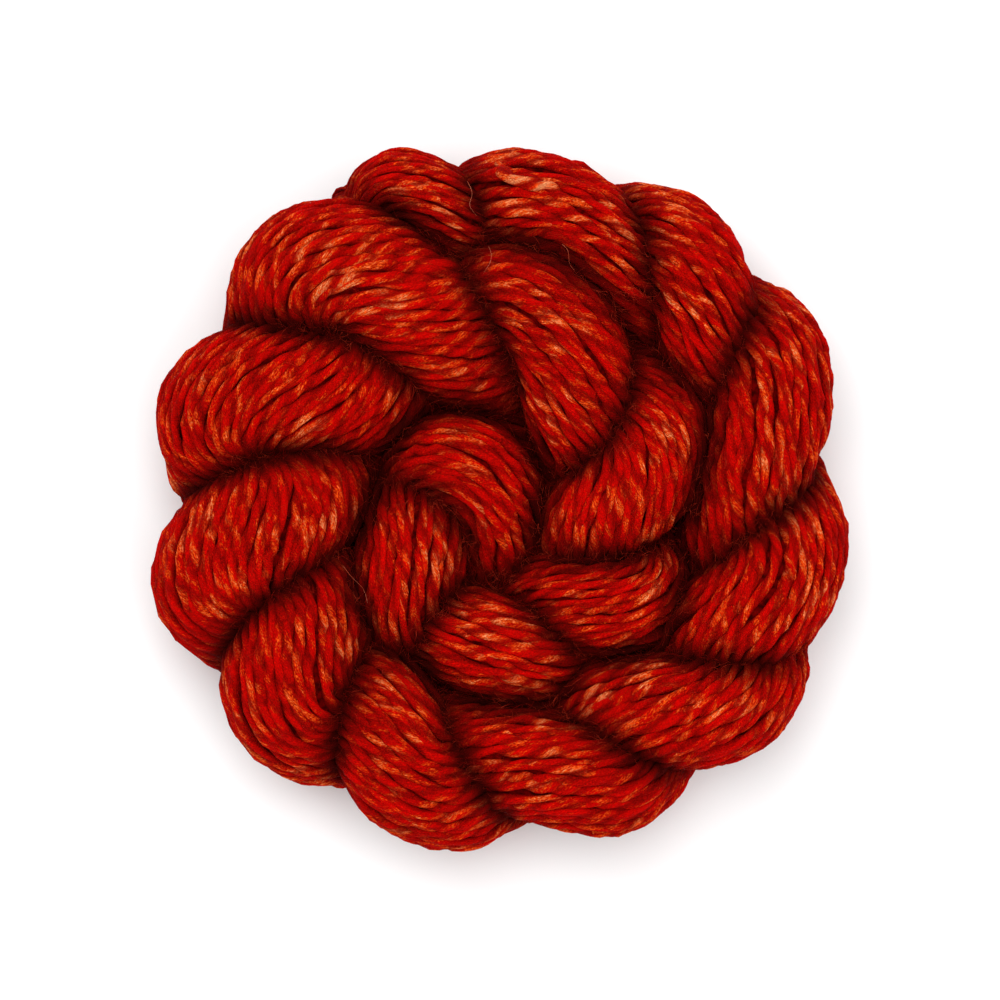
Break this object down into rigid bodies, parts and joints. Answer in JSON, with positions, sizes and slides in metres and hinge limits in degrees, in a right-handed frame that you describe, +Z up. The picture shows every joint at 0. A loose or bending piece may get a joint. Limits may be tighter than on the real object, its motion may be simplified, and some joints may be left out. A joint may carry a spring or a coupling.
{
  "type": "skein of yarn",
  "caption": "Round, flat-lying skein of wool and silk yarn: a hank twisted into a thick rope and coiled on itself into a knot.",
  "frame": {"origin": "middle of the skein's box on the surface that it lies on", "axes": "+Z up from the surface, through the thickness of the coil; +Y towards the side where the hank's outer end lies, the top of the picture; +X to the right of it seen from above"},
  "size_m": [0.1155, 0.1166, 0.0328],
  "materials": {
    "yarn": "matt fibre with a soft silk sheen"
  },
  "bodies": {
    "root": {"hank": "yarn"}
  },
  "joints": []
}
